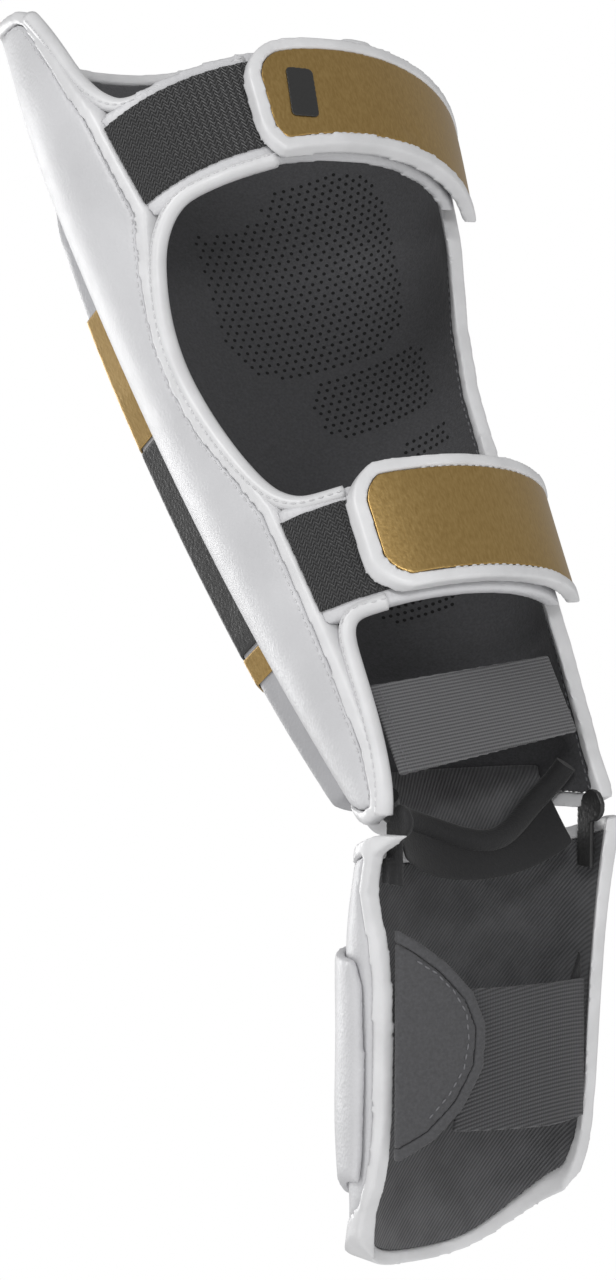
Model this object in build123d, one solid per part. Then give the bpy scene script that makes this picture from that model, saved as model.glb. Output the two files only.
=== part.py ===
from build123d import *
import os
from math import cos, radians, sin

# Padded shin-and-instep guard, left leg: shin pad, two wrap-over straps, hinged instep pad.
# Frame (mm): +Z up the shin, -Y the front ridge, +Y the calf opening, +X the wearer's outer side.
# The ankle hinge is the X axis through the origin.

os.makedirs("parts", exist_ok=True)

# ---------------------------------------------------------------- driving dimensions
STRAP_TOP = 285.0            # upper strap's top edge above the ankle hinge
SHIN_TOP = 384.0             # knee edge of the shin pad
ANKLE_HALF_W, KNEE_HALF_W = 48.0, 80.0      # inner half widths of the shin tube
ANKLE_HALF_D, KNEE_HALF_D = 27.0, 56.0      # inner half depths
LINER_T, SKIN_T = 1.2, 1.5
SIDE_T, FRONT_T = 5.0, 22.0  # wall at the wings and at the shin's front
RIDGE_IN = 12.0              # the front pad's form is this much narrower than the leg tube
BIND_W, BIND_OVER = 5.0, 0.7
PANEL_T, INLAY_T = 7.0, 1.0
PANEL_OUT = 11.0             # the raised panel's form is this much wider than the ridge under it
TAB_T = 5.0
LOOP_T, HOOK_T, STRAP_T, FACING_T = 1.2, 1.0, 3.2, 0.9
UPPER_BAND = (238.8, 285.0, 0.23)           # lower edge, upper edge, rise per mm of depth
LOWER_BAND = (76.2, 126.4, -0.07)
UPPER_TAB = (242.0, 287.0, 0.23)
LOWER_TAB = (74.6, 122.2, -0.07)
FOOT_TILT = 33.0             # instep axis forward of straight down
FOOT_LEN = 170.0             # ankle hinge to toe edge, along the instep axis
FOOT_HALF_W, TOE_HALF_W = 49.3, 44.3
FOOT_SIDE_T, FOOT_FRONT_T, PAD_T = 4.8, 12.6, 4.0
GAP = 0.1                    # between layers sewn together
HOOK_GAP = 0.4               # between a closed strap's hook face and the loop patch


# ---------------------------------------------------------------- section laws
def shin_section(z):
    """Inner half width, half depth and centre of the shin tube at height z."""
    t = min(z / STRAP_TOP, 1.0)
    bow = 4 * t * (1 - t)
    return (ANKLE_HALF_W + (KNEE_HALF_W - ANKLE_HALF_W) * t - 2.5 * bow,
            ANKLE_HALF_D + (KNEE_HALF_D - ANKLE_HALF_D) * t + 6.5 * bow,
            -5.0 * t - 8.5 * bow)


def foot_section(s):
    """Inner half width, half depth and centre of the instep trough at distance s from the hinge."""
    t = (s - 14.0) / (FOOT_LEN - 14.0)
    bow = 4 * t * (1 - t)
    return (FOOT_HALF_W + (TOE_HALF_W - FOOT_HALF_W) * t - 1.2 * bow,
            26.0 + 3.3 * t + 0.5 * bow,
            5.2 + 3.1 * t + 4.4 * bow)


def foot_front(s):
    """Share of the full instep thickness: thin at the ankle edge, full over the instep."""
    return min(1.0, 0.3 + 0.7 * max(0.0, s - 12.0) / 26.0)


SHIN_LEVELS = [-14, 0, 30, 70, 115, 160, 205, 245, 285, 335, 396]
FOOT_LEVELS = [-6, 10, 24, 40, 65, 95, 125, 150, 182]
tilt = radians(FOOT_TILT)
TOE_DIR = Vector(0, -sin(tilt), -cos(tilt))
TOP_DIR = Vector(0, -cos(tilt), sin(tilt))


def shin_tube(across, deep):
    """Elliptical tube grown from the inner surface by these amounts sideways and in depth."""
    rings = []
    for z in SHIN_LEVELS:
        a, b, c = shin_section(z)
        rings.append(Pos(0, c, z) * Ellipse(a + across, b + deep))
    return loft(rings)


def shin_wrap(side, front):
    """Outer form: even walls round the wings, with the thick front pad rising from a crease."""
    ridge = shin_tube(side - SIDE_T - RIDGE_IN, front) & (Pos(0, -100, 190) * Box(400, 180, 440))
    return shin_tube(side, side) + ridge


def foot_tube(side, front, taper=True):
    rings = []
    for s in FOOT_LEVELS:
        a, b, c = foot_section(s)
        f = side + (front - side) * (foot_front(s) if taper else 1.0)
        grow, shift = (f + side) / 2, (f - side) / 2
        at = TOE_DIR * s + TOP_DIR * (c + shift)
        plane = Plane(origin=(at.X, at.Y, at.Z), x_dir=(1, 0, 0), z_dir=TOE_DIR)
        rings.append(plane * Ellipse(a + side, b + grow))
    return loft(rings)


def shell(tube, inner, outer):
    return tube(*outer) - tube(*inner)


# ---------------------------------------------------------------- cutters
SIDE_VIEW = Plane.YZ
FOOT_SIDE = Plane(origin=(0, 0, 0), x_dir=TOE_DIR, z_dir=(-1, 0, 0))
FOOT_PLAN = Plane(origin=(0, 0, 0), x_dir=(1, 0, 0), z_dir=-TOP_DIR)
WIDE = 140


def outline(points):
    return make_face(Polyline(*points, close=True))


def side_prism(face, sign, plane=SIDE_VIEW):
    """Extrude a side-view face over one half of the guard (sign +1 outer side, -1 inner side)."""
    toward = sign if plane is SIDE_VIEW else -sign
    return extrude(plane * face, amount=toward * WIDE)


def both_sides(outer_face, inner_face, plane=SIDE_VIEW):
    return side_prism(outer_face, 1, plane) + side_prism(inner_face, -1, plane)


def band_face(band, y0, y1):
    low, high, rise = band
    return outline([(y0, low + rise * y0), (y1, low + rise * y1),
                    (y1, high + rise * y1), (y0, high + rise * y0)])


def rear_prism(face, y0=0, y1=110):
    """Extrude an (x, z) face towards the rear."""
    plane = Plane(origin=(0, y0, 0), x_dir=(1, 0, 0), z_dir=(0, -1, 0))
    return extrude(plane * face, amount=y0 - y1)


def front_prism(face, y0=-10, y1=-120):
    plane = Plane(origin=(0, y0, 0), x_dir=(1, 0, 0), z_dir=(0, -1, 0))
    return extrude(plane * face, amount=y0 - y1)


def plan_prism(face):
    """Extrude an (x, s) face of the instep through its whole depth."""
    return extrude(FOOT_PLAN * face, amount=90, both=True)


def save(name, part):
    solids = sorted(part.solids(), key=lambda s: -s.volume)
    keep = [s for s in solids if s.volume > 1.0]
    out = keep[0] if len(keep) == 1 else Compound(children=keep)
    export_step(out, f"parts/{name}.step")
    print(f"{name:26s} {len(keep)} solid(s) {sum(s.volume for s in keep) / 1000:9.2f} cm3")


# ---------------------------------------------------------------- shin pad outlines (side view: y, z)
KNEE_EDGE = [(17.5, 293), (15.5, 303), (10, 326), (5, 342), (-1, 356), (-8, 363), (-24, 371),
             (-40, 381), (-52, SHIN_TOP), (-66, 382), (-125, 374)]
ANKLE_EDGE = [(-125, 18), (-31, 18), (-10, 4), (2, 2)]
OUTER_EDGE = ANKLE_EDGE + [(6, 10), (9.5, 26), (10.5, 60), (10.5, 124), (7, 140), (0, 165), (-2, 186),
                           (0, 205), (6, 224), (13, 240), (17.5, 250)] + KNEE_EDGE
INNER_EDGE = ANKLE_EDGE + [(3, 20), (6, 45), (9, 62), (10.5, 80), (10.5, 122), (3, 132), (-4, 150),
                           (-5, 185), (0, 212), (8, 230), (16, 243), (17.5, 262)] + KNEE_EDGE
outer_face, inner_face = outline(OUTER_EDGE), outline(INNER_EDGE)
core_outer = side_prism(offset(outer_face, amount=-BIND_W, kind=Kind.INTERSECTION), 1)
core_inner = side_prism(offset(inner_face, amount=-BIND_W, kind=Kind.INTERSECTION), -1)
core_prism = core_outer + core_inner
edge_prism = both_sides(outer_face, inner_face) - both_sides(
    offset(outer_face, amount=-(BIND_W - GAP), kind=Kind.INTERSECTION),
    offset(inner_face, amount=-(BIND_W - GAP), kind=Kind.INTERSECTION))

core_in, core_out = LINER_T + GAP, SIDE_T - SKIN_T - GAP
front_core = FRONT_T - SKIN_T - GAP
foam_ring = shin_wrap(core_out, front_core) - shin_tube(core_in, core_in)
skin_ring = shin_wrap(SIDE_T, FRONT_T) - shin_wrap(SIDE_T - SKIN_T, FRONT_T - SKIN_T)
liner_ring = shell(shin_tube, (0, 0), (LINER_T, LINER_T))
bind_ring = shin_wrap(SIDE_T + BIND_OVER, FRONT_T + BIND_OVER) - shin_tube(-BIND_OVER, -BIND_OVER)

save("shin_foam_core", foam_ring & core_prism)
save("shin_outer_skin", (skin_ring & core_outer) + (skin_ring & core_inner))
save("shin_liner", liner_ring & core_prism)
save("shin_edge_binding", bind_ring & edge_prism)

# ---------------------------------------------------------------- front panel and inlays (front view: x, z)
PANEL = [(-26, 34), (26, 34), (38, 110), (49, 220), (52, 300), (36, 345), (0, 352), (-36, 345),
         (-52, 300), (-49, 220), (-38, 110)]
wrap_clear = shin_wrap(SIDE_T + GAP, FRONT_T + GAP)


def panel_block(grow):
    """The raised panel, its face and its side walls grown by this much."""
    form = shin_tube(PANEL_OUT - RIDGE_IN + grow, FRONT_T + PANEL_T + grow)
    face = outline(PANEL)
    if grow:
        face = offset(face, amount=grow, kind=Kind.INTERSECTION)
    return form & front_prism(face)


save("shin_front_panel", panel_block(0) - wrap_clear)
cap = panel_block(GAP + INLAY_T) - panel_block(GAP) - wrap_clear
INLAYS = {
    "gold_inlay_upper": [(-75, 199), (75, 199), (75, 252), (0, 278), (-75, 252)],
    "black_inlay": [(-75, 103), (75, 103), (75, 197.5), (-75, 197.5)],
    "gold_inlay_lower": [(-75, 90), (75, 90), (75, 101.5), (-75, 101.5)],
}
for name, points in INLAYS.items():
    save(name, cap & front_prism(outline(points)))

# ---------------------------------------------------------------- wrap-round tabs with loop patches
tab_ring = shell(shin_tube, (0, 0), (TAB_T, TAB_T))
loop_ring = shell(shin_tube, (TAB_T + GAP,) * 2, (TAB_T + GAP + LOOP_T,) * 2)
TABS = {"upper": (UPPER_TAB, 17.7, 27.0, -26.0), "lower": (LOWER_TAB, 10.7, 18.5, -8.0)}
for level, (band, root_y, tip_y, patch_x) in TABS.items():
    wide = both_sides(band_face(band, root_y, 90), band_face(band, tip_y, 90))
    save(f"{level}_tab", tab_ring & wide)
    inset = (band[0] + 5, band[1] - 5, band[2])
    patch = side_prism(band_face(inset, root_y + 0.5, 90), 1) + side_prism(band_face(inset, 30.0, 90), -1)
    reach = Pos(patch_x + 100, 50, 180) * Box(200, 120, 400)
    save(f"{level}_loop_patch", loop_ring & patch & reach)

# ---------------------------------------------------------------- straps (rear view outlines: x, z)
strap_in = TAB_T + GAP + LOOP_T + HOOK_GAP + HOOK_T + GAP
strap_out = strap_in + STRAP_T
hook_ring = shell(shin_tube, (strap_in - HOOK_T - GAP,) * 2, (strap_in - GAP,) * 2)
strap_ring = shell(shin_tube, (strap_in,) * 2, (strap_out,) * 2)
face_ring = shell(shin_tube, (strap_out + GAP,) * 2, (strap_out + GAP + FACING_T,) * 2)
strap_bind_ring = shell(shin_tube, (strap_in - BIND_OVER,) * 2,
                        (strap_out + GAP + FACING_T + BIND_OVER,) * 2)
STRAPS = {  # band, root y, tip outline (x, z), hook patch x range
    "upper": (UPPER_BAND, 25.2, [(-130, 226), (37, 250.5), (37, 297), (-130, 316)], (-24, 30)),
    "lower": (LOWER_BAND, 17.4, [(-130, 66), (43, 73.5), (43, 124), (-130, 136)], (-6, 37)),
}
for level, (band, root_y, tip, hook_x) in STRAPS.items():
    edges = band_face(band, 0, 90)
    body = side_prism(edges, 1) + side_prism(band_face(band, root_y, 90), -1)
    tip_face = fillet(outline(tip).vertices().sort_by(Axis.X)[2:], 17)
    tip_inner = offset(tip_face, amount=-BIND_W, kind=Kind.INTERSECTION)
    small = (band[0] + BIND_W, band[1] - BIND_W, band[2])
    inner = side_prism(band_face(small, 0, 90), 1) + side_prism(band_face(small, root_y, 90), -1)
    core = inner & rear_prism(tip_inner)
    less = (band[0] + BIND_W - GAP, band[1] - BIND_W + GAP, band[2])
    near = side_prism(band_face(less, 0, 90), 1) + side_prism(band_face(less, root_y - 1, 90), -1)
    hole = near & rear_prism(offset(tip_face, amount=-(BIND_W - GAP), kind=Kind.INTERSECTION))
    rim = (body & rear_prism(tip_face)) - hole
    save(f"{level}_strap", strap_ring & core)
    save(f"{level}_strap_facing", face_ring & core)
    save(f"{level}_strap_binding", strap_bind_ring & rim)
    hook_box = Pos(sum(hook_x) / 2, 50, 180) * Box(hook_x[1] - hook_x[0], 120, 400)
    save(f"{level}_hook_patch", hook_ring & core & hook_box)

label_ring = shell(shin_tube, (strap_out + FACING_T + 0.2,) * 2, (strap_out + FACING_T + 0.7,) * 2)
label_face = Pos(18, 275) * Rot(0, 0, 8) * RectangleRounded(11, 21, 2)
save("side_label", label_ring & rear_prism(label_face))

# ---------------------------------------------------------------- ankle: elastic, gusset and rolled rim
elastic_face = outline([(44.3, 13.5), (-41, 26), (-41, 58), (44.3, 49.5)])
save("ankle_elastic", rear_prism(elastic_face, 8.4, 10.0))
GUSSET_Z = (2.6, 38.0)
gusset_cut = Pos(0, -62, sum(GUSSET_Z) / 2) * Box(300, 100, GUSSET_Z[1] - GUSSET_Z[0])
gusset_out = -BIND_OVER - GAP
save("ankle_gusset", shell(shin_tube, (gusset_out - LINER_T,) * 2, (gusset_out,) * 2) & gusset_cut)
ROLL_R = 3.2
roll_path = Edge.make_ellipse(ANKLE_HALF_W + 0.6, ANKLE_HALF_D + 0.6, Plane.XY.offset(-1.0), 213, 327)
roll_start = Plane(origin=roll_path @ 0, z_dir=roll_path % 0)
save("ankle_rim_roll", sweep(roll_start * Circle(ROLL_R), path=roll_path))

# ---------------------------------------------------------------- instep pad
FOOT_TOP = [(4, -8), (4, 0), (8, 12), (15, 31), (15, 70)]
FOOT_TOE = [(185, 70), (185, 22), (155, 18), (143, 14), (132, 8.6)]
FOOT_OUTER = FOOT_TOP + FOOT_TOE + [(121, 6), (105, 4.3), (85, 3.5), (60, 2.5), (43, 3.3), (26, 7), (12, 3)]
FOOT_INNER = FOOT_TOP + FOOT_TOE + [(121, 4.5), (100, 0), (60, -3), (26, -4), (12, -6)]
TOE_PLAN = [(60, 126), (54, 144), (45, 157), (32, 166), (16, 169.5), (0, FOOT_LEN), (-17, 167), (-32, 158),
            (-46, 144), (-56, 128)]
foot_outer_face, foot_inner_face = outline(FOOT_OUTER), outline(FOOT_INNER)


def toe_face(inset):
    """Plan outline of the instep pad: a round toe edge, closed well clear of the pad elsewhere."""
    toe = [(x * (1 - 0.8 * inset / 55), s - inset) for x, s in TOE_PLAN]
    rest = [toe[-1], (-75, 100), (-75, -20), (75, -20), (75, 100), toe[0]]
    return make_face([Spline(*toe), Polyline(*rest)])


def foot_prism(inset):
    sides = [foot_outer_face, foot_inner_face]
    if inset:
        sides = [offset(face, amount=-inset, kind=Kind.INTERSECTION) for face in sides]
    return both_sides(sides[0], sides[1], FOOT_SIDE) & plan_prism(toe_face(inset))


foot_core = foot_prism(BIND_W)
foot_rim = foot_prism(0) - foot_prism(BIND_W - GAP)
foot_in = LINER_T + GAP
foot_mid = (FOOT_SIDE_T - SKIN_T, FOOT_FRONT_T - SKIN_T)
save("instep_liner", shell(foot_tube, (0, 0), (LINER_T, LINER_T)) & foot_core)
foam_shell = shell(foot_tube, (foot_in, foot_in), (foot_mid[0] - GAP, foot_mid[1] - GAP))
save("instep_foam_core", foam_shell & foot_core)
save("instep_outer_skin", shell(foot_tube, foot_mid, (FOOT_SIDE_T, FOOT_FRONT_T)) & foot_core)
foot_bind = shell(foot_tube, (-BIND_OVER, -BIND_OVER), (FOOT_SIDE_T + BIND_OVER, FOOT_FRONT_T + BIND_OVER))
save("instep_edge_binding", foot_bind & foot_rim)
PAD_SIDE = [(50, 14), (50, 70), (147, 70), (147, 22), (140, 16), (120, 13), (85, 11), (60, 11)]
PAD_PLAN = [(60, 46), (60, 124), (38, 141), (16, 149), (-16, 148), (-38, 139), (-60, 120), (-60, 46),
            (-20, 40), (20, 40)]
pad_ring = shell(foot_tube, (FOOT_SIDE_T + GAP, FOOT_FRONT_T + GAP),
                 (FOOT_SIDE_T + PAD_T, FOOT_FRONT_T + PAD_T))
pad_face = outline(PAD_SIDE)
pad_prism = both_sides(pad_face, pad_face, FOOT_SIDE) & plan_prism(outline(PAD_PLAN))
save("instep_raised_pad", pad_ring & pad_prism)

# ---------------------------------------------------------------- sole-side flaps and foot elastic
SOLE_C = 12.0


def sole_band(half_w, depth, thick, plan, x_lim):
    """Shallow arc across the open side of the trough, cut to a plan outline."""
    ends = Plane(origin=tuple(TOP_DIR * SOLE_C + TOE_DIR * -10), x_dir=(1, 0, 0), z_dir=TOE_DIR)
    outer = extrude(ends * Ellipse(half_w + thick, depth + thick), amount=200)
    hollow = extrude(ends * Ellipse(half_w, depth), amount=200)
    low = extrude(Plane(origin=tuple(TOP_DIR * (SOLE_C - 2.2)), x_dir=(1, 0, 0), z_dir=-TOP_DIR)
                  * Pos((x_lim[0] + x_lim[1]) / 2, 90) * Rectangle(x_lim[1] - x_lim[0], 300), amount=60)
    return (outer - hollow) & low & plan_prism(plan)


FLAP = [(60, 35), (47, 37), (38, 43), (28, 51), (18, 62), (13, 74), (14, 89), (22, 103), (33, 114),
        (46, 122), (60, 124)]
flap_face = outline(FLAP)
flap_inner = offset(flap_face, amount=-4.0, kind=Kind.INTERSECTION)
flap_hole = offset(flap_face, amount=-3.9, kind=Kind.INTERSECTION)
save("outer_flap", sole_band(51.2, 20.2, 2.4, flap_inner, (0, 45.0)))
save("outer_flap_binding", sole_band(50.9, 19.9, 3.0, flap_face, (0, 45.0)) - plan_prism(flap_hole))
ELASTIC = [(19, 61), (-60, 64), (-60, 114), (-20, 115), (24, 112)]
save("foot_elastic", sole_band(49.3, 18.1, 1.6, outline(ELASTIC), (-40.4, 27)))
INNER_FLAP = [(-60, 52), (-40, 54), (-32, 66), (-30, 86), (-33, 102), (-41, 112), (-60, 114)]
save("inner_flap", sole_band(46.4, 15.6, 2.3, outline(INNER_FLAP), (-40.2, -20)))

# ---------------------------------------------------------------- hinge tabs each side of the ankle
TAB_X = (42.6, 44.6)         # flat tabs just inside the shin pad's wings
tab_mid, tab_half = sum(TAB_X) / 2, (TAB_X[1] - TAB_X[0]) / 2
for sign, name in ((1, "outer"), (-1, "inner")):
    across = Plane(origin=(sign * tab_mid, 0, 0), x_dir=(0, 1, 0), z_dir=(1, 0, 0))
    disc = extrude(across * Circle(6), amount=tab_half, both=True)
    tongue = extrude(FOOT_SIDE.offset(-sign * TAB_X[0]) * Pos(12, 4) * Rectangle(22, 8),
                     amount=-sign * 2 * tab_half)
    foot = extrude(FOOT_SIDE.offset(-sign * TAB_X[1]) * Pos(18, 5) * Rectangle(9, 5), amount=-sign * 2.2)
    save(f"ankle_hinge_tab_{name}", disc + tongue + foot)
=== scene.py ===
import bpy
import bmesh
import math
from mathutils import Matrix, Vector
from mathutils.bvhtree import BVHTree


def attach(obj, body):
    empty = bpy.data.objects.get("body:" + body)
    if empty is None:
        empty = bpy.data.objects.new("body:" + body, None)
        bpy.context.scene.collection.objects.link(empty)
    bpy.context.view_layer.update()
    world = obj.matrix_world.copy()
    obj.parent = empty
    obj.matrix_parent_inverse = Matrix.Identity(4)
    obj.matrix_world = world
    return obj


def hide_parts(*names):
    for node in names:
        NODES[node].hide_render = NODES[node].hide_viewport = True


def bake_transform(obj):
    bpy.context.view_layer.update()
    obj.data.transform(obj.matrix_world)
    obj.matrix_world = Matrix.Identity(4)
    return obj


# Padded shin-and-instep guard: the look of each piece on the CAD frame. Metres, same axes as the CAD.
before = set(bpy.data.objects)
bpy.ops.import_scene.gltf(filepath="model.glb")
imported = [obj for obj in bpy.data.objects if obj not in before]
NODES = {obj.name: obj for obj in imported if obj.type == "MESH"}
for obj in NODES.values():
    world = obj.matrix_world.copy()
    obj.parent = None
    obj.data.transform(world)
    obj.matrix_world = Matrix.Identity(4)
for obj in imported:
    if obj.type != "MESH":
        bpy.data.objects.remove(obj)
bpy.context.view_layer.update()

# ---------------------------------------------------------------- dimensions repeated from the CAD (metres)
STRAP_TOP = 0.285
FOOT_TILT = math.radians(33.0)
FOOT_LEN = 0.170
WALL = 0.005                 # shin pad's wall at the wings
TOE_DIR = Vector((0, -math.sin(FOOT_TILT), -math.cos(FOOT_TILT)))
TOP_DIR = Vector((0, -math.cos(FOOT_TILT), math.sin(FOOT_TILT)))


def shin_section(z):
    """Inner half width, half depth and centre of the leg tube at height z."""
    t = min(z / STRAP_TOP, 1.0)
    bow = 4 * t * (1 - t)
    return 0.048 + 0.032 * t - 0.0025 * bow, 0.027 + 0.029 * t + 0.0065 * bow, -0.005 * t - 0.0085 * bow


def shin_point(angle, z, off=0.0):
    """Point on the leg tube; angle in degrees from the front, positive towards the outer side."""
    a, b, c = shin_section(z)
    t = math.radians(angle)
    return Vector(((a + off) * math.sin(t), c - (b + off) * math.cos(t), z))


def shin_side(sign, y, z, off=0.0):
    """Point on one side of the leg tube at depth y and height z."""
    a, b, c = shin_section(z)
    k = max(-1.0, min(1.0, (y - c) / (b + off)))
    return Vector((sign * (a + off) * math.sqrt(1 - k * k), y, z))


def foot_point(x, s, o):
    return Vector((x, 0, 0)) + TOE_DIR * s + TOP_DIR * o


# ---------------------------------------------------------------- node helpers
class Mat:
    """One Principled material with short calls for the nodes that feed it."""

    def __init__(self, name, colour, rough, **sockets):
        self.m = bpy.data.materials.new(name)
        self.m.use_nodes = True
        self.nt = self.m.node_tree
        self.p = self.nt.nodes["Principled BSDF"]
        self.p.inputs["Base Color"].default_value = (*colour, 1)
        self.p.inputs["Roughness"].default_value = rough
        for key, value in sockets.items():
            self.p.inputs[key.replace("_", " ")].default_value = value
        self.m.diffuse_color = (*colour, 1)
        self.co = self.add("ShaderNodeTexCoord").outputs["Object"]
        self.height = None

    def add(self, kind, **props):
        n = self.nt.nodes.new(kind)
        for key, value in props.items():
            setattr(n, key, value)
        return n

    def link(self, a, b):
        self.nt.links.new(a, b)

    def math(self, op, a, b=None, c=None):
        n = self.add("ShaderNodeMath", operation=op)
        for i, v in enumerate((a, b, c)):
            if v is None:
                continue
            if isinstance(v, (int, float)):
                n.inputs[i].default_value = v
            else:
                self.link(v, n.inputs[i])
        return n.outputs[0]

    def axes(self):
        n = self.add("ShaderNodeSeparateXYZ")
        self.link(self.co, n.inputs[0])
        return n.outputs

    def scaled(self, x, y, z):
        n = self.add("ShaderNodeMapping")
        n.inputs["Scale"].default_value = (x, y, z)
        self.link(self.co, n.inputs["Vector"])
        return n.outputs[0]

    def noise(self, scale, detail=3.0, vector=None):
        n = self.add("ShaderNodeTexNoise")
        n.inputs["Scale"].default_value = scale
        n.inputs["Detail"].default_value = detail
        self.link(vector or self.co, n.inputs["Vector"])
        return n.outputs[0]

    def cells(self, scale):
        n = self.add("ShaderNodeTexVoronoi", feature="SMOOTH_F1")
        n.inputs["Scale"].default_value = scale
        self.link(self.co, n.inputs["Vector"])
        return n.outputs["Distance"]

    def ribs(self, value, pitch):
        return self.math("SINE", self.math("MULTIPLY", value, 2 * math.pi / pitch))

    def ramp(self, value, stops, socket="Base Color"):
        n = self.add("ShaderNodeValToRGB")
        e = n.color_ramp.elements
        while len(e) < len(stops):
            e.new(0.5)
        for item, (pos, colour) in zip(e, stops):
            item.position = pos
            item.color = (*colour, 1)
        self.link(value, n.inputs[0])
        self.link(n.outputs[0], self.p.inputs[socket])

    def rough(self, value, low, high):
        n = self.add("ShaderNodeMapRange")
        n.inputs["To Min"].default_value = low
        n.inputs["To Max"].default_value = high
        self.link(value, n.inputs["Value"])
        self.link(n.outputs[0], self.p.inputs["Roughness"])

    def bump(self, value, distance, strength=1.0):
        n = self.add("ShaderNodeBump")
        n.inputs["Distance"].default_value = distance
        n.inputs["Strength"].default_value = strength
        self.link(value, n.inputs["Height"])
        if self.height is not None:
            self.link(self.height, n.inputs["Normal"])
        self.height = n.outputs[0]
        self.link(self.height, self.p.inputs["Normal"])
        return self


# ---------------------------------------------------------------- materials
def leather(name, base, rough):
    dark = tuple(c * 0.90 for c in base)
    m = Mat(name, base, rough, Coat_Weight=0.12, Coat_Roughness=0.35)
    m.ramp(m.noise(28, 5), [(0.35, dark), (0.62, base)])
    m.rough(m.noise(160, 4), rough - 0.07, rough + 0.10)
    m.bump(m.cells(850), 0.00022, 0.7)
    m.bump(m.noise(120, 4), 0.0005, 0.35)
    return m.m


def edge_leather(name, base):
    m = Mat(name, base, 0.36, Coat_Weight=0.2, Coat_Roughness=0.3)
    m.ramp(m.noise(60, 4), [(0.3, tuple(c * 0.88 for c in base)), (0.65, base)])
    m.rough(m.noise(240, 3), 0.30, 0.48)
    m.bump(m.noise(420, 4), 0.00015, 0.5)
    m.bump(m.noise(90, 3), 0.0003, 0.3)
    return m.m


def gold(name):
    m = Mat(name, (0.40, 0.26, 0.09), 0.34, Metallic=0.9)
    brushed = m.noise(1.0, 5, m.scaled(1300, 1300, 420))
    clouds = m.noise(9, 2)
    both = m.math("ADD", m.math("MULTIPLY", brushed, 0.55), m.math("MULTIPLY", clouds, 0.45))
    m.ramp(both, [(0.30, (0.33, 0.205, 0.066)), (0.52, (0.43, 0.285, 0.105)), (0.75, (0.52, 0.36, 0.15))])
    m.rough(brushed, 0.28, 0.44)
    m.bump(brushed, 0.00008, 0.5)
    m.bump(m.cells(900), 0.00012, 0.4)
    return m.m


def knit(name, base, scale=1500, rough=0.85):
    m = Mat(name, base, rough, Sheen_Weight=0.15, Sheen_Roughness=0.5)
    m.ramp(m.noise(900, 4), [(0.3, tuple(c * 0.80 for c in base)), (0.7, tuple(c * 1.18 for c in base))])
    m.bump(m.cells(scale), 0.00018, 0.8)
    m.bump(m.noise(500, 3), 0.0002, 0.4)
    return m.m


def twill(name, base):
    m = Mat(name, base, 0.85, Sheen_Weight=0.15)
    x, _, z = m.axes()
    diagonal = m.ribs(m.math("ADD", x, z), 0.0016)
    m.ramp(m.math("ADD", m.math("MULTIPLY", diagonal, 0.25), m.noise(90, 5)),
           [(0.25, tuple(c * 0.7 for c in base)), (0.75, tuple(c * 1.3 for c in base))])
    m.bump(diagonal, 0.00018, 0.7)
    m.bump(m.noise(700, 3), 0.00015, 0.4)
    return m.m


def webbing(name, base, pitch):
    """Ribbed elastic: cords run along its length, so the ribs repeat up its height."""
    m = Mat(name, base, 0.75, Sheen_Weight=0.15)
    x, _, z = m.axes()
    ribs = m.ribs(m.math("ADD", z, m.math("MULTIPLY", x, 0.12)), pitch)
    cross = m.ribs(x, 0.0011)
    m.ramp(m.math("MULTIPLY_ADD", ribs, 0.5, 0.5),
           [(0.1, tuple(c * 0.55 for c in base)), (0.8, tuple(c * 1.2 for c in base))])
    m.bump(ribs, 0.0003, 0.9)
    m.bump(cross, 0.00008, 0.5)
    return m.m


def chevron(name, base):
    """Loop tape woven in upright zigzags."""
    m = Mat(name, base, 0.95, Sheen_Weight=0.25)
    x, y, z = m.axes()
    along = m.math("SUBTRACT", y, x)
    zig = m.math("PINGPONG", along, 0.0019)
    rows = m.ribs(m.math("ADD", z, zig), 0.0017)
    pile = m.noise(1800, 2)
    m.ramp(m.math("MULTIPLY_ADD", rows, 0.4, pile),
           [(0.2, tuple(c * 0.35 for c in base)), (0.9, tuple(c * 2.2 for c in base))])
    m.bump(rows, 0.0004, 0.9)
    m.bump(pile, 0.0003, 0.6)
    return m.m


WHITE = leather("white_leather", (0.60, 0.60, 0.615), 0.42)
PANEL = leather("grey_leather", (0.42, 0.42, 0.435), 0.40)
BINDING = edge_leather("white_binding", (0.70, 0.70, 0.71))
GOLD = gold("gold_leather")
BLACK = leather("black_leather", (0.018, 0.018, 0.018), 0.38)
LINING = knit("lining", (0.058, 0.058, 0.062))
TWILL = twill("twill", (0.090, 0.090, 0.094))
BLACK_KNIT = knit("black_knit", (0.012, 0.012, 0.013))
ELASTIC = webbing("ankle_webbing", (0.125, 0.125, 0.13), 0.0013)
FOOT_ELASTIC = webbing("foot_webbing", (0.060, 0.060, 0.064), 0.0012)
LOOP = chevron("loop_tape", (0.016, 0.016, 0.017))
NEOPRENE = knit("neoprene", (0.058, 0.058, 0.062), 1900, 0.7)
THREAD = leather("white_thread", (0.62, 0.62, 0.63), 0.6)
DARK_THREAD = leather("dark_thread", (0.16, 0.16, 0.17), 0.7)
# Near-black discs for the lining's perforations: the holes are real, and their dark colour is painted shade
# inside them.
HOLE = knit("perforation", (0.004, 0.004, 0.004), 1200, 1.0)


# ---------------------------------------------------------------- mesh helpers
def new_object(name, mesh, material, body):
    o = bpy.data.objects.new(name, mesh)
    bpy.context.scene.collection.objects.link(o)
    mesh.materials.clear()
    mesh.materials.append(material)
    for p in mesh.polygons:
        p.use_smooth = True
    if body:
        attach(o, body)
    return o


def cad_mesh(name, nodes):
    """One mesh holding copies of these CAD nodes."""
    bm = bmesh.new()
    for n in nodes:
        bm.from_mesh(NODES[n].data)
    bmesh.ops.remove_doubles(bm, verts=bm.verts, dist=1e-6)
    mesh = bpy.data.meshes.new(name)
    bm.to_mesh(mesh)
    bm.free()
    return mesh


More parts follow.
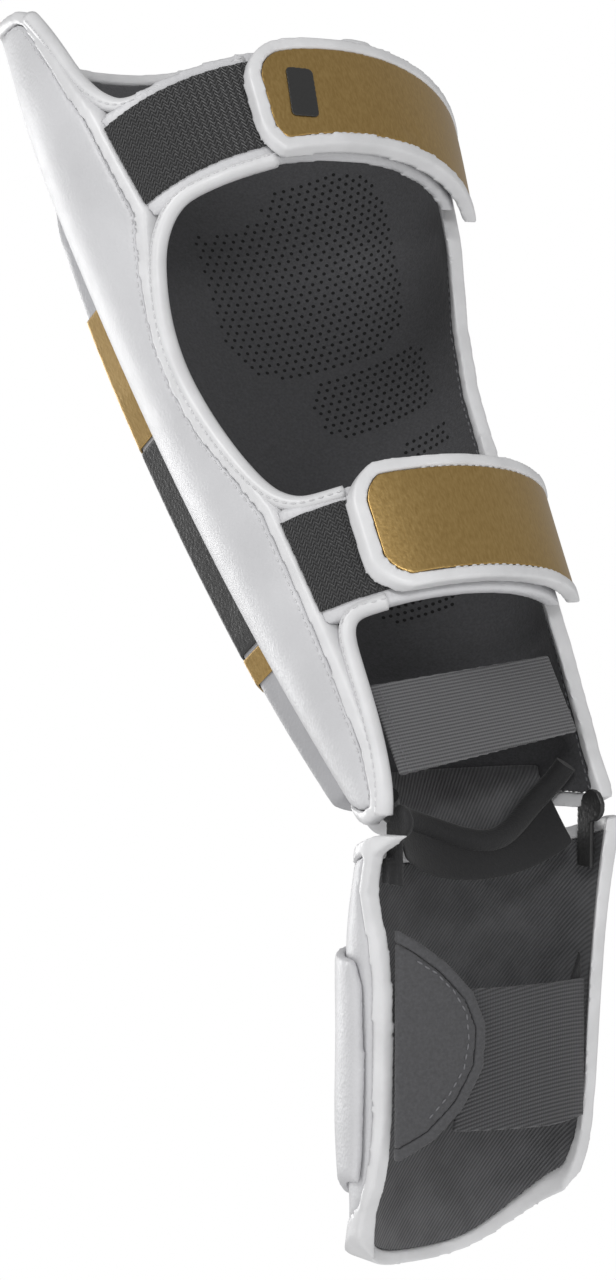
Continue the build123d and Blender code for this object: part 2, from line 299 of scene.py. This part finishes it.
def soften(name, nodes, voxel, rounds, puff=0.0):
    """Even quads over the space that these CAD nodes hold, with their edges rounded off."""
    o = bpy.data.objects.new(name, cad_mesh(name, nodes))
    bpy.context.scene.collection.objects.link(o)
    r = o.modifiers.new("even", "REMESH")
    r.mode = "VOXEL"
    r.voxel_size = voxel
    if puff:
        d = o.modifiers.new("puff", "DISPLACE")
        d.strength = puff
        d.mid_level = 0.0
    s = o.modifiers.new("round", "SMOOTH")
    s.factor = 0.5
    s.iterations = rounds
    mesh = bpy.data.meshes.new_from_object(o.evaluated_get(bpy.context.evaluated_depsgraph_get()))
    bpy.data.objects.remove(o)
    return mesh


def soft_piece(name, nodes, voxel, rounds, material, body, puff=0.0):
    o = new_object(name, soften(name, nodes, voxel, rounds, puff), material, body)
    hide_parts(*nodes)
    return o


def surface_of(o):
    bm = bmesh.new()
    bm.from_mesh(o.data)
    tree = BVHTree.FromBMesh(bm)
    bm.free()
    return tree


def on_surface(tree, point, lift):
    """Nearest place on a surface, raised by lift along its normal."""
    place, normal, _, _ = tree.find_nearest(point)
    return place + normal * lift, normal


def spaced(points, pitch):
    """(point, direction) every pitch metres along a run of points."""
    out = []
    carry = 0.0
    for a, b in zip(points, points[1:]):
        length = (b - a).length
        if length < 1e-9:
            continue
        at = carry
        while at < length:
            out.append((a.lerp(b, at / length), (b - a) / length))
            at += pitch
        carry = at - length
    return out


def stitches(name, target, path, body, material, pitch=0.0034, length=0.0022, radius=0.00034):
    """A row of thread stitches lying on target along path."""
    tree = surface_of(target)
    bm = bmesh.new()
    for point, along in spaced(path, pitch):
        place, normal = on_surface(tree, point, radius * 0.4)
        side = normal.cross(along)
        if side.length < 0.1:
            continue
        side.normalize()
        run = side.cross(normal)
        turn = Matrix((run, side, normal)).transposed().to_4x4()
        size = Matrix.Diagonal((length / 2, radius, radius, 1))
        bmesh.ops.create_uvsphere(bm, u_segments=8, v_segments=6, radius=1.0,
                                  matrix=Matrix.Translation(place) @ turn @ size)
    mesh = bpy.data.meshes.new(name)
    bm.to_mesh(mesh)
    bm.free()
    return new_object(name, mesh, material, body)


def inset_run(points, inset):
    """A side-view run of points moved sideways by inset, towards the left of its direction."""
    out = []
    for i, p in enumerate(points):
        a, b = points[max(i - 1, 0)], points[min(i + 1, len(points) - 1)]
        dy, dz = b[0] - a[0], b[1] - a[1]
        n = math.hypot(dy, dz)
        out.append((p[0] - dz / n * inset, p[1] + dy / n * inset))
    return out


# ---------------------------------------------------------------- camera, floor and light
target = Vector((0.05526, -0.00052, 0.07443))
alpha, eps, roll, reach = math.radians(38.23), math.radians(-23.0), math.radians(-19.667), 1.172
back = Vector((math.sin(alpha) * math.cos(eps), math.cos(alpha) * math.cos(eps), math.sin(eps)))
right = (-back).cross(Vector((0, 0, 1))).normalized()
up = right.cross(-back)
right_r = right * math.cos(roll) + up * math.sin(roll)
up_r = up * math.cos(roll) - right * math.sin(roll)
camera = bpy.data.objects.new("camera", bpy.data.cameras.new("camera"))
bpy.context.scene.collection.objects.link(camera)
camera.data.sensor_width = 36.0
camera.data.lens = 91.93
camera.data.clip_start = 0.05
camera.matrix_world = Matrix.Translation(target + back * reach) @ \
    Matrix((right_r, up_r, back)).transposed().to_4x4()
bpy.context.scene.camera = camera

floor_mesh = bpy.data.meshes.new("floor")
floor_mesh.from_pydata([(-6, -6, -0.75), (6, -6, -0.75), (6, 6, -0.75), (-6, 6, -0.75)], [], [(0, 1, 2, 3)])
floor = bpy.data.objects.new("floor", floor_mesh)
bpy.context.scene.collection.objects.link(floor)
floor_mat = Mat("pale_floor", (0.85, 0.85, 0.85), 0.9, Emission_Strength=0.3)
floor_mat.p.inputs["Emission Color"].default_value = (1, 1, 1, 1)
floor_mat.bump(floor_mat.noise(8, 2), 0.0005, 0.2)
floor_mesh.materials.append(floor_mat.m)

world = bpy.data.worlds.new("studio")
bpy.context.scene.world = world
world.use_nodes = True
bpy.context.scene.view_settings.view_transform = "Standard"
wt = world.node_tree
ambient = wt.nodes["Background"]
ambient.inputs[0].default_value = (1, 1, 1, 1)
ambient.inputs[1].default_value = 0.42
plain = wt.nodes.new("ShaderNodeBackground")
plain.inputs[0].default_value = (1, 1, 1, 1)
plain.inputs[1].default_value = 1.0
seen = wt.nodes.new("ShaderNodeLightPath")
choose = wt.nodes.new("ShaderNodeMixShader")
wt.links.new(seen.outputs["Is Camera Ray"], choose.inputs[0])
wt.links.new(ambient.outputs[0], choose.inputs[1])
wt.links.new(plain.outputs[0], choose.inputs[2])
wt.links.new(choose.outputs[0], wt.nodes["World Output"].inputs["Surface"])


def area_light(name, place, size, power):
    data = bpy.data.lights.new(name, "AREA")
    data.size = size
    data.energy = power
    o = bpy.data.objects.new(name, data)
    bpy.context.scene.collection.objects.link(o)
    o.location = place
    o.rotation_euler = (Vector((0, 0, 0.12)) - Vector(place)).to_track_quat("-Z", "Y").to_euler()


area_light("key", target + back * 0.9 - right_r * 0.9 + up_r * 0.9, 0.45, 8)
area_light("glint", target + back * 0.8 + up_r * 0.35 + right_r * 0.1, 0.15, 1.6)
area_light("fill", target + back * 1.0 + right_r * 1.1 - up_r * 0.2, 0.7, 3)
area_light("low", target + back * 0.3 - right_r * 1.2 - up_r * 0.5, 0.8, 2)
area_light("front", Vector((0.2, -1.3, 0.8)), 0.8, 7)

# ---------------------------------------------------------------- shin pad
pad = soft_piece("shin_pad", ["shin_foam_core", "shin_outer_skin"], 0.0016, 5, WHITE, "shin")
lining = soft_piece("shin_lining", ["shin_liner"], 0.0010, 2, LINING, "shin")
soft_piece("shin_binding", ["shin_edge_binding"], 0.0011, 5, BINDING, "shin")
panel = soft_piece("front_panel", ["shin_front_panel"], 0.0014, 6, PANEL, "shin")
for node, material, slot in (("gold_inlay_upper", GOLD, "gold_leather"),
                             ("black_inlay", BLACK, "black_leather"),
                             ("gold_inlay_lower", GOLD, "gold_leather")):
    soft_piece(node + "_piece", [node], 0.0006, 2, material, "shin")

# Seam along the shin pad's edge, both faces of both wings.
KNEE_EDGE = [(17.5, 293), (15.5, 303), (10, 326), (5, 342), (-1, 356), (-8, 363)]
WING_EDGE = {
    1: [(2, 2), (6, 10), (9.5, 26), (10.5, 60), (10.5, 124), (7, 140), (0, 165), (-2, 186), (0, 205),
        (6, 224), (13, 240), (17.5, 250)] + KNEE_EDGE,
    -1: [(2, 2), (3, 20), (6, 45), (9, 62), (10.5, 80), (10.5, 122), (3, 132), (-4, 150), (-5, 185),
         (0, 212), (8, 230), (16, 243), (17.5, 262)] + KNEE_EDGE,
}
for sign, run in WING_EDGE.items():
    seam = inset_run([(y / 1000, z / 1000) for y, z in run], 0.0062)
    for face, off, target_piece in (("out", WALL, pad), ("in", 0.0, lining)):
        path = [shin_side(sign, y, z, off) for y, z in seam]
        stitches(f"edge_seam_{'outer' if sign > 0 else 'inner'}_{face}", target_piece, path, "shin",
                 THREAD if face == "out" else DARK_THREAD)

# ---------------------------------------------------------------- perforations in the lining
# Rounded patches of holes: centre angle and height, then half widths, in degrees and mm.
PERFORATED = [(-38, 270, 34, 44), (-52, 208, 24, 15), (-66, 178, 11, 6), (-40, 117, 20, 11)]


def perforated(angle, height):
    return any(((angle - a) / wide) ** 4 + ((height - h) / tall) ** 4 < 1 for a, h, wide, tall in PERFORATED)


HOLE_PITCH, HOLE_RADIUS, HOLE_LIFT = 0.0038, 0.00075, 0.00012
HOLE_ROW_RATIO = 0.86        # row spacing over pitch, with every second row shifted by half a pitch
HOLES_LOW, HOLES_HIGH, HOLES_SIDE = 0.100, 0.325, -84.0
LINING_RADIUS = 0.070        # mean radius of the lining, for the pitch in degrees


def perforations():
    tree = surface_of(lining)
    holes = bmesh.new()
    step = math.degrees(HOLE_PITCH / LINING_RADIUS)
    row = 0
    z = HOLES_LOW
    while z < HOLES_HIGH:
        angle = HOLES_SIDE + (step / 2 if row % 2 else 0)
        while angle < 0:
            if perforated(angle, z * 1000):
                place, normal = on_surface(tree, shin_point(angle, z), HOLE_LIFT)
                turn = normal.to_track_quat("Z", "Y").to_matrix().to_4x4()
                bmesh.ops.create_circle(holes, cap_ends=True, segments=12, radius=HOLE_RADIUS,
                                        matrix=Matrix.Translation(place) @ turn)
            angle += step
        z += HOLE_PITCH * HOLE_ROW_RATIO
        row += 1
    mesh = bpy.data.meshes.new("lining_perforations")
    holes.to_mesh(mesh)
    holes.free()
    return mesh


# Dark discs on the lining: painted shade of the perforation holes.
new_object("lining_perforations", perforations(), HOLE, "shin")

# ---------------------------------------------------------------- tabs, loop patches and straps
BANDS = {"upper": (0.2388, 0.285, 0.23, 37), "lower": (0.0762, 0.1264, -0.07, 43)}
STRAP_FACE = 0.0120
for level, (low, high, rise, tip) in BANDS.items():
    tab = soft_piece(f"{level}_tab_pad", [f"{level}_tab"], 0.0012, 4, WHITE, "shin")
    soft_piece(f"{level}_loop", [f"{level}_loop_patch"], 0.0006, 2, LOOP, "shin")
    body = f"{level}_strap"
    strap = soft_piece(f"{level}_strap_pad", [f"{level}_strap"], 0.0010, 3, WHITE, body)
    soft_piece(f"{level}_facing", [f"{level}_strap_facing"], 0.00045, 2, GOLD, body)
    rim = soft_piece(f"{level}_strap_rim", [f"{level}_strap_binding"], 0.0009, 5, BINDING, body)
    soft_piece(f"{level}_hook", [f"{level}_hook_patch"], 0.0005, 1, LOOP, body)
    for edge_name, height in (("top", high - 0.0058), ("bottom", low + 0.0058)):
        path = []
        for angle in range(168, 236, 3):
            p = shin_point(angle, height, STRAP_FACE)
            if p.x < (tip - 12) / 1000:
                path.append(shin_point(angle, height + rise * p.y, STRAP_FACE))
        stitches(f"{level}_strap_seam_{edge_name}", rim, path, body, THREAD)

soft_piece("side_mark", ["side_label"], 0.0003, 1, BLACK, "upper_strap")

# ---------------------------------------------------------------- rolled binding round the windows
def rolled(name, points, body, wide=0.0031, thick=0.0037):
    """A rolled leather edge along a smooth run of (angle, height in mm) on the leg tube."""
    curve = bpy.data.curves.new(name, "CURVE")
    curve.dimensions = "3D"
    curve.resolution_u = 14
    spline = curve.splines.new("NURBS")
    spline.points.add(len(points) - 1)
    for point, (angle, height) in zip(spline.points, points):
        point.co = (*shin_point(angle, height / 1000, WALL / 2), 1)
    spline.order_u = 4
    spline.use_endpoint_u = True
    guide = bpy.data.objects.new(name, curve)
    bpy.context.scene.collection.objects.link(guide)
    line = bpy.data.meshes.new_from_object(guide.evaluated_get(bpy.context.evaluated_depsgraph_get()))
    run = [v.co.copy() for v in line.vertices]
    bpy.data.objects.remove(guide)
    verts, quads, ring = [], [], 14
    for i, p in enumerate(run):
        along = (run[min(i + 1, len(run) - 1)] - run[max(i - 1, 0)]).normalized()
        a, b, c = shin_section(p.z)
        out = Vector((p.x / (a * a), (p.y - c) / (b * b), 0)).normalized()
        side = along.cross(out).normalized()
        for k in range(ring):
            t = 2 * math.pi * k / ring
            verts.append(p + out * thick * math.cos(t) + side * wide * math.sin(t))
    for i in range(len(run) - 1):
        for k in range(ring):
            n = (k + 1) % ring
            quads.append((i * ring + k, i * ring + n, (i + 1) * ring + n, (i + 1) * ring + k))
    quads.append(tuple(range(ring - 1, -1, -1)))
    quads.append(tuple(range((len(run) - 1) * ring, len(run) * ring)))
    mesh = bpy.data.meshes.new(name)
    mesh.from_pydata(verts, [], quads)
    return new_object(name, mesh, BINDING, body), run


def tab_edge(band_height, rise, angles):
    """(angle, height) along a tab's edge."""
    out = []
    for angle in angles:
        y = shin_point(angle, band_height).y
        out.append((angle, (band_height + rise * y) * 1000))
    return out


WINDOWS = {
    "upper_window": tab_edge(0.2445, 0.23, (158, 146, 134, 124)) +
    [(114, 240), (108, 228), (102, 212), (99, 194), (100, 177), (103, 160), (108, 142), (114, 128)] +
    tab_edge(0.1205, -0.07, (124, 133, 141)),
    "lower_window": tab_edge(0.0765, -0.07, (141, 133, 126)) +
    [(120, 70), (118, 60), (116, 48), (113, 34), (108, 20), (101, 9), (92, 3)],
    "top_edge": [(96, 352), (100, 342), (104, 326), (108, 308)] +
    tab_edge(0.2855, 0.23, (118, 130, 143, 158)),
}
for name, points in WINDOWS.items():
    window, run = rolled(name + "_binding", points, "shin")
    outward = [p + Vector((p.x, p.y, 0)).normalized() * 0.003 for p in run]
    stitches(name + "_seam", window, outward, "shin", THREAD)

# ---------------------------------------------------------------- ankle
ankle_band = soft_piece("ankle_band", ["ankle_elastic"], 0.0007, 2, ELASTIC, "shin")


def across(rows, name, material, thick):
    """A closed cloth strip through rows of points, each row running round the front of the ankle."""
    verts = [p for line in rows for p in line]
    n = len(rows[0])
    quads = [(r * n + i, r * n + i + 1, (r + 1) * n + i + 1, (r + 1) * n + i)
             for r in range(len(rows) - 1) for i in range(n - 1)]
    mesh = bpy.data.meshes.new(name)
    mesh.from_pydata(verts, [], quads)
    o = new_object(name, mesh, material, None)
    for kind, values in (("SOLIDIFY", {"thickness": thick, "offset": 0}), ("SUBSURF", {"levels": 1})):
        mod = o.modifiers.new(kind.lower(), kind)
        for key, value in values.items():
            setattr(mod, key, value)
    done = bpy.data.meshes.new_from_object(o.evaluated_get(bpy.context.evaluated_depsgraph_get()))
    o.modifiers.clear()
    o.data = done
    return o


# Twill cloth runs from the shin lining to the rim, and a black sheet from the rim to the instep lining
# paints the shade that falls below the rim.
# Both stop short of the hinge tabs at each side.
ANGLES = [i * 6 for i in range(-10, 11)]
# The rim's height: level at the sides and tilted, with a dip near the middle and ends that lift.
RIM_REACH = 84               # degrees to each side of the front
RIM_LEVEL, RIM_TILT = 0.0115, 0.000045
RIM_DIP, RIM_DIP_AT, RIM_DIP_SPREAD = 0.0145, -12, 29
RIM_END_LIFT = 0.0046
RIM_RADIUS, RIM_INSET = 0.0042, -0.0062


def rim_height(angle):
    dip = RIM_DIP * math.exp(-((angle - RIM_DIP_AT) / RIM_DIP_SPREAD) ** 2)
    return RIM_LEVEL - RIM_TILT * angle - dip + RIM_END_LIFT * (angle / RIM_REACH) ** 4


def ankle_rows(top_of, low_of, bulge, count=10):
    rows = []
    for step in range(count):
        t = step / (count - 1)
        line = []
        for angle in ANGLES:
            out = Vector((math.sin(math.radians(angle)), -math.cos(math.radians(angle)), 0))
            line.append(top_of(angle).lerp(low_of(angle), t) - out * bulge * math.sin(math.pi * t))
        rows.append(line)
    return rows


def gusset_top(angle):
    return shin_point(angle, 0.016 + 0.021 * math.cos(math.radians(angle)), -0.0016)


def at_rim(angle):
    return shin_point(angle, rim_height(angle), -0.0050)


def at_instep(angle):
    droop = math.cos(math.radians(angle))
    return shin_point(angle, -0.002 - 0.014 * droop, -0.0030) + Vector((0, -0.003 * droop, 0))


gusset = across(ankle_rows(gusset_top, at_rim, 0.0026), "ankle_gusset_cloth", TWILL, 0.0010)
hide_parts("ankle_gusset")
# Black sheet standing in for painted shade under the rim, where the ankle throat lies in shadow.
shade_cloth = across(ankle_rows(at_rim, at_instep, 0.0008), "ankle_painted_shade_cloth", BLACK_KNIT, 0.0008)
for cloth in (gusset, shade_cloth):
    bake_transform(cloth)

# The soft black rim hangs in a shallow S across the front of the ankle.
rim_curve = bpy.data.curves.new("rim", "CURVE")
rim_curve.dimensions = "3D"
rim_curve.bevel_depth = RIM_RADIUS
rim_curve.bevel_resolution = 6
rim_curve.use_fill_caps = True
spline = rim_curve.splines.new("NURBS")
rim_angles = [RIM_REACH - i * 14 for i in range(13)]
spline.points.add(len(rim_angles) - 1)
for point, angle in zip(spline.points, rim_angles):
    point.co = (*shin_point(angle, rim_height(angle), RIM_INSET), 1)
spline.order_u = 4
spline.use_endpoint_u = True
rim_object = bpy.data.objects.new("rim", rim_curve)
bpy.context.scene.collection.objects.link(rim_object)
rim_mesh = bpy.data.meshes.new_from_object(rim_object.evaluated_get(bpy.context.evaluated_depsgraph_get()))
bpy.data.objects.remove(rim_object)
roll_piece = new_object("ankle_roll", rim_mesh, BLACK_KNIT, None)
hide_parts("ankle_rim_roll")
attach(roll_piece, "shin")
band_end = [Vector((0.0405, 0.010, 0.015 + i * 0.002)) for i in range(17)]
stitches("ankle_band_end", ankle_band, band_end, "shin", DARK_THREAD,
         0.0024, 0.0016, 0.00025)

# ---------------------------------------------------------------- instep
instep = soft_piece("instep_pad", ["instep_foam_core", "instep_outer_skin"], 0.0014, 5, WHITE, "instep")
soft_piece("instep_lining", ["instep_liner"], 0.0006, 2, TWILL, "instep")
soft_piece("instep_binding", ["instep_edge_binding"], 0.0010, 5, BINDING, "instep")
raised = soft_piece("instep_top_pad", ["instep_raised_pad"], 0.0013, 8, WHITE, "instep")
for node, material in (("ankle_hinge_tab_outer", BLACK_KNIT), ("ankle_hinge_tab_inner", BLACK)):
    soft_piece(node + "_piece", [node], 0.0006, 3, material, "instep")

# ---------------------------------------------------------------- flaps and foot elastic
flap = soft_piece("outer_flap_pad", ["outer_flap"], 0.0008, 3, NEOPRENE, "instep")
soft_piece("outer_flap_rim", ["outer_flap_binding"], 0.0008, 4, NEOPRENE, "instep")
inner = soft_piece("inner_flap_pad", ["inner_flap"], 0.0008, 3, BLACK_KNIT, "instep")
foot_band = soft_piece("foot_band", ["foot_elastic"], 0.0007, 2, FOOT_ELASTIC, "instep")
FLAP_SEAM = [(40, 50), (33, 54), (26, 61), (21, 69), (20, 79), (22, 89), (28, 98), (37, 107)]
stitches("outer_flap_seam", flap, [foot_point(x / 1000, s / 1000, -0.008) for x, s in FLAP_SEAM], "instep",
         DARK_THREAD, 0.0036, 0.0024, 0.00032)
